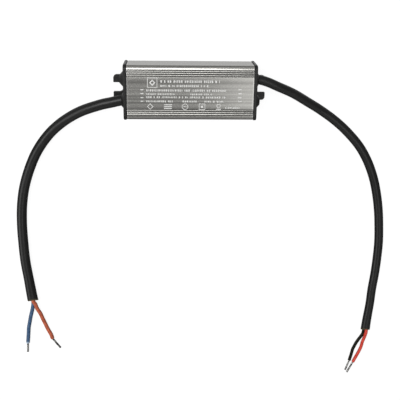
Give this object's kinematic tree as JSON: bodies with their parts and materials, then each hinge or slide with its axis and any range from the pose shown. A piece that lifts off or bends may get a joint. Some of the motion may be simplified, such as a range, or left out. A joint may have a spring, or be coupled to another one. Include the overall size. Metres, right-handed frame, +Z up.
{
  "type": "power supply",
  "caption": "Waterproof in-line power supply: brushed aluminium extrusion closed by black end caps with forked mounting ears, and a round black lead with tinned wire ends at each end.",
  "frame": {"origin": "centre of the body's underside, in the plane of the ears' undersides, where it rests on a surface", "axes": "+X along the body towards the output end, +Y across the printed face, +Z up out of the printed face"},
  "size_m": [0.262, 0.2391, 0.026],
  "materials": {
    "brushed_aluminium": "brushed along its length, clear",
    "black_nylon": "moulded, satin",
    "gasket_rubber": "matt",
    "lead_jacket": "extruded, satin",
    "brown_insulation": "extruded, satin",
    "blue_insulation": "extruded, satin",
    "red_insulation": "extruded, satin",
    "black_insulation": "extruded, satin",
    "tinned_copper": "tinned, twisted",
    "tie_nylon": "moulded, satin",
    "board_laminate": "solder mask, satin",
    "solder": "bright",
    "liner_sheet": "matt",
    "thermal_silicone": "matt",
    "black_epoxy": "moulded, matt",
    "blue_epoxy": "dipped, gloss",
    "yellow_case": "moulded, gloss",
    "red_film": "dipped, gloss",
    "capacitor_sleeve": "shrunk sleeve, gloss",
    "ferrite": "sintered, matt",
    "enamelled_copper": "enamelled",
    "winding_tape": "film tape, satin",
    "bobbin_moulding": "moulded, satin",
    "resistor_lacquer": "lacquered",
    "chip_ceramic": "sintered, matt"
  },
  "bodies": {
    "root": {"housing": "brushed_aluminium", "input_cap": "black_nylon", "output_cap": "black_nylon", "input_gasket": "gasket_rubber", "output_gasket": "gasket_rubber", "insulating_liner": "liner_sheet", "thermal_pad": "thermal_silicone", "circuit_board": "board_laminate", "solder_joints": "solder", "fuse": "black_epoxy", "varistor": "blue_epoxy", "suppression_capacitor": "yellow_case", "choke_core": "ferrite", "choke_winding": "enamelled_copper", "bridge_rectifier": "black_epoxy", "bulk_capacitor": "capacitor_sleeve", "controller_chip": "black_epoxy", "chip_components": "chip_ceramic", "power_transistor": "black_epoxy", "transformer_core": "ferrite", "transformer_bobbin": "bobbin_moulding", "transformer_winding": "winding_tape", "safety_capacitor": "blue_epoxy", "snubber_capacitor": "red_film", "output_diode": "black_epoxy", "output_capacitors": "capacitor_sleeve", "resistors": "resistor_lacquer", "input_lead_entry": "lead_jacket", "output_lead_entry": "lead_jacket", "input_tie": "tie_nylon", "output_tie": "tie_nylon", "input_brown_inner_wire": "brown_insulation", "input_blue_inner_wire": "blue_insulation", "output_black_inner_wire": "black_insulation", "output_red_inner_wire": "red_insulation", "input_lead": "lead_jacket", "input_brown_core": "brown_insulation", "input_blue_core": "blue_insulation", "input_brown_strands": "tinned_copper", "input_blue_strands": "tinned_copper", "output_lead": "lead_jacket", "output_black_core": "black_insulation", "output_red_core": "red_insulation", "output_black_strands": "tinned_copper", "output_red_strands": "tinned_copper"}
  },
  "joints": []
}
